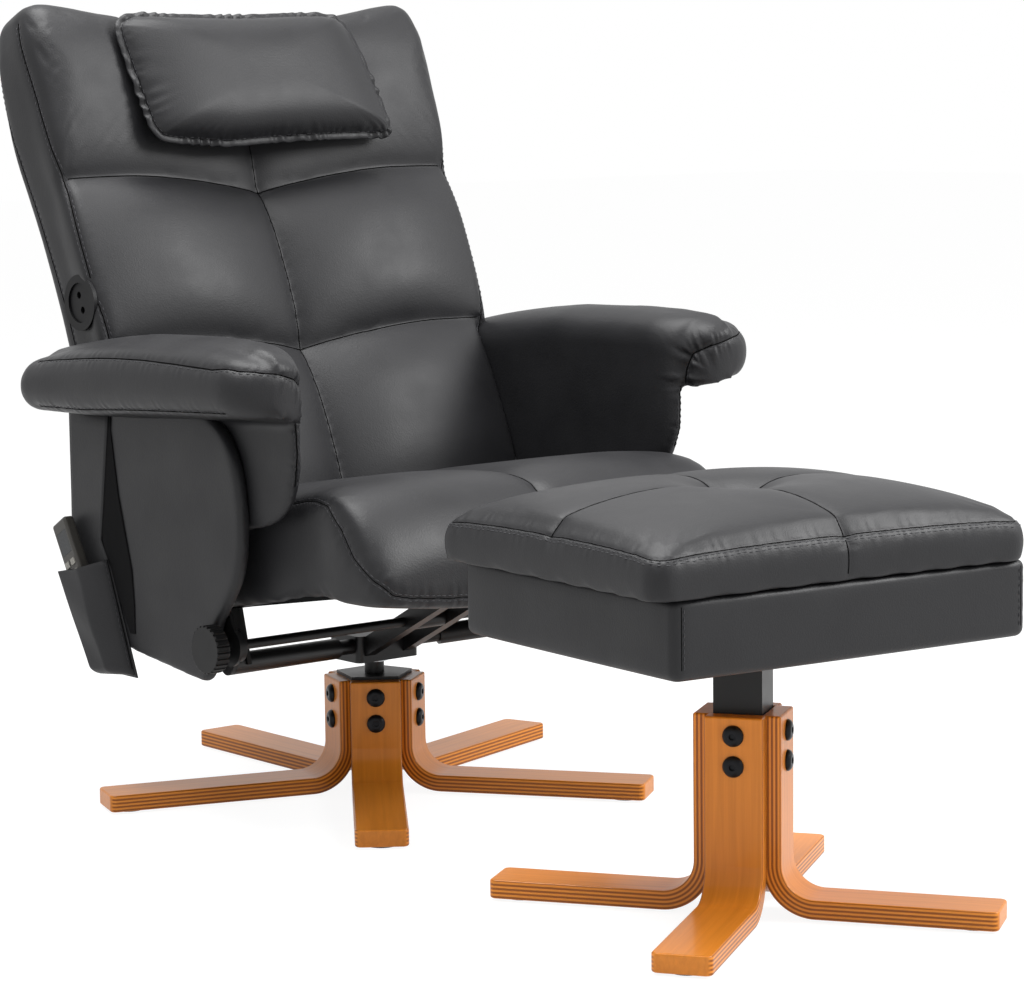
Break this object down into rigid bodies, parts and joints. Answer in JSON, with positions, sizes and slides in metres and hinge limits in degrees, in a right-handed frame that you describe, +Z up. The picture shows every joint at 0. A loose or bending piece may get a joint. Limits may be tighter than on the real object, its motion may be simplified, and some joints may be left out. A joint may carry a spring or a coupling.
{
  "type": "massage recliner with footstool",
  "caption": "Swivel massage recliner with a tilting upholstered back and arms on a bent-plywood star base, with a storage footstool to match.",
  "frame": {"origin": "on the floor under the middle of the whole set's bounding box", "axes": "+Z up, -Y the way the sitter faces, +X the sitter's left"},
  "size_m": [0.8017, 1.3891, 0.994],
  "materials": {
    "plywood": "honey-orange varnish, gloss",
    "black_steel": "semi-gloss black powder coat",
    "bolt_black": "black oxide",
    "foot_rubber": "matte black",
    "bearing_steel": "satin",
    "leather": "fine-grained charcoal synthetic leather, satin",
    "board_wood": "raw board",
    "motor_plastic": "matte",
    "knob_plastic": "satin black, knurled rim",
    "socket_plastic": "satin black",
    "remote_plastic": "satin dark grey",
    "circuit_green": "solder mask",
    "window_glass": "dark gloss display window",
    "button_rubber": "light grey"
  },
  "bodies": {
    "base": {"chair_leg_1": "plywood", "chair_leg_2": "plywood", "chair_leg_3": "plywood", "chair_leg_4": "plywood", "chair_leg_5": "plywood", "base_hub": "black_steel", "chair_leg_bolts": "bolt_black", "chair_foot_pads": "foot_rubber", "swivel_column": "black_steel", "swivel_bearing": "bearing_steel"},
    "swivel_frame": {"swivel_box": "black_steel", "frame_arms": "black_steel", "rod_ears": "black_steel", "recline_rod": "black_steel", "rod_hardware": "black_steel", "front_braces": "black_steel", "seat_side_plates": "black_steel", "seat_pan": "board_wood", "seat_cushion": "leather", "seat_motors": "motor_plastic"},
    "backrest": {"pivot_plates": "black_steel", "pivot_bolts": "bolt_black", "side_panel_left": "leather", "side_panel_right": "leather", "arm_web_left": "leather", "arm_web_right": "leather", "arm_pad_left": "leather", "arm_pad_right": "leather", "back_board": "board_wood", "back_shell": "leather", "back_cushion": "leather", "back_motors": "motor_plastic", "massage_controller": "motor_plastic", "socket_rim": "socket_plastic", "socket_core": "socket_plastic", "pillow_flap": "leather", "pocket_back": "leather", "pocket_pouch": "leather"},
    "knob": {"recline_knob": "knob_plastic"},
    "pillow": {"head_pillow": "leather"},
    "remote": {"remote_case": "remote_plastic", "remote_circuit": "circuit_green", "remote_window": "window_glass"},
    "button_1": {"remote_button_1": "button_rubber"},
    "button_2": {"remote_button_2": "button_rubber"},
    "button_3": {"remote_button_3": "button_rubber"},
    "button_4": {"remote_button_4": "button_rubber"},
    "footstool": {"stool_leg_1": "plywood", "stool_leg_2": "plywood", "stool_leg_3": "plywood", "stool_leg_4": "plywood", "stool_post": "black_steel", "stool_leg_bolts": "bolt_black", "stool_foot_pads": "foot_rubber", "stool_floor": "board_wood", "stool_walls": "leather"},
    "lid": {"lid_board": "board_wood", "lid_cushion": "leather"}
  },
  "joints": [
    {"name": "swivel", "type": "hinge", "parent": "base", "child": "swivel_frame", "pos_m": [0, 0.327, 0.17], "axis": [0, 0, 1], "continuous": true},
    {"name": "recline", "type": "hinge", "parent": "swivel_frame", "child": "backrest", "pos_m": [0, 0.215, 0.23], "axis": [-1, 0, 0], "range_deg": [0, 35]},
    {"name": "knob_turn", "type": "hinge", "parent": "swivel_frame", "child": "knob", "pos_m": [-0.32, 0.215, 0.23], "axis": [-1, 0, 0], "range_deg": [0, 270]},
    {"name": "pillow_lift", "type": "hinge", "parent": "backrest", "child": "pillow", "pos_m": [0, 0.59913, 0.9807], "axis": [-1, 0, 0], "range_deg": [0, 75]},
    {"name": "remote_pull", "type": "slide", "parent": "backrest", "child": "remote", "axis": [0, 0.5, 0.866], "range_m": [0, 0.18]},
    {"name": "button_press_1", "type": "slide", "parent": "remote", "child": "button_1", "axis": [1, 0, 0], "range_m": [0, 0.001], "stiffness_N_per_m": 400, "springref_m": -0.001},
    {"name": "button_press_2", "type": "slide", "parent": "remote", "child": "button_2", "axis": [1, 0, 0], "range_m": [0, 0.001], "stiffness_N_per_m": 400, "springref_m": -0.001},
    {"name": "button_press_3", "type": "slide", "parent": "remote", "child": "button_3", "axis": [1, 0, 0], "range_m": [0, 0.001], "stiffness_N_per_m": 400, "springref_m": -0.001},
    {"name": "button_press_4", "type": "slide", "parent": "remote", "child": "button_4", "axis": [1, 0, 0], "range_m": [0, 0.001], "stiffness_N_per_m": 400, "springref_m": -0.001},
    {"name": "stool_slide", "type": "slide", "parent": "base", "child": "footstool", "axis": [0, -1, 0], "range_m": [0, 0.4]},
    {"name": "lid_lift", "type": "slide", "parent": "footstool", "child": "lid", "axis": [0, 0, 1], "range_m": [0, 0.25]}
  ]
}
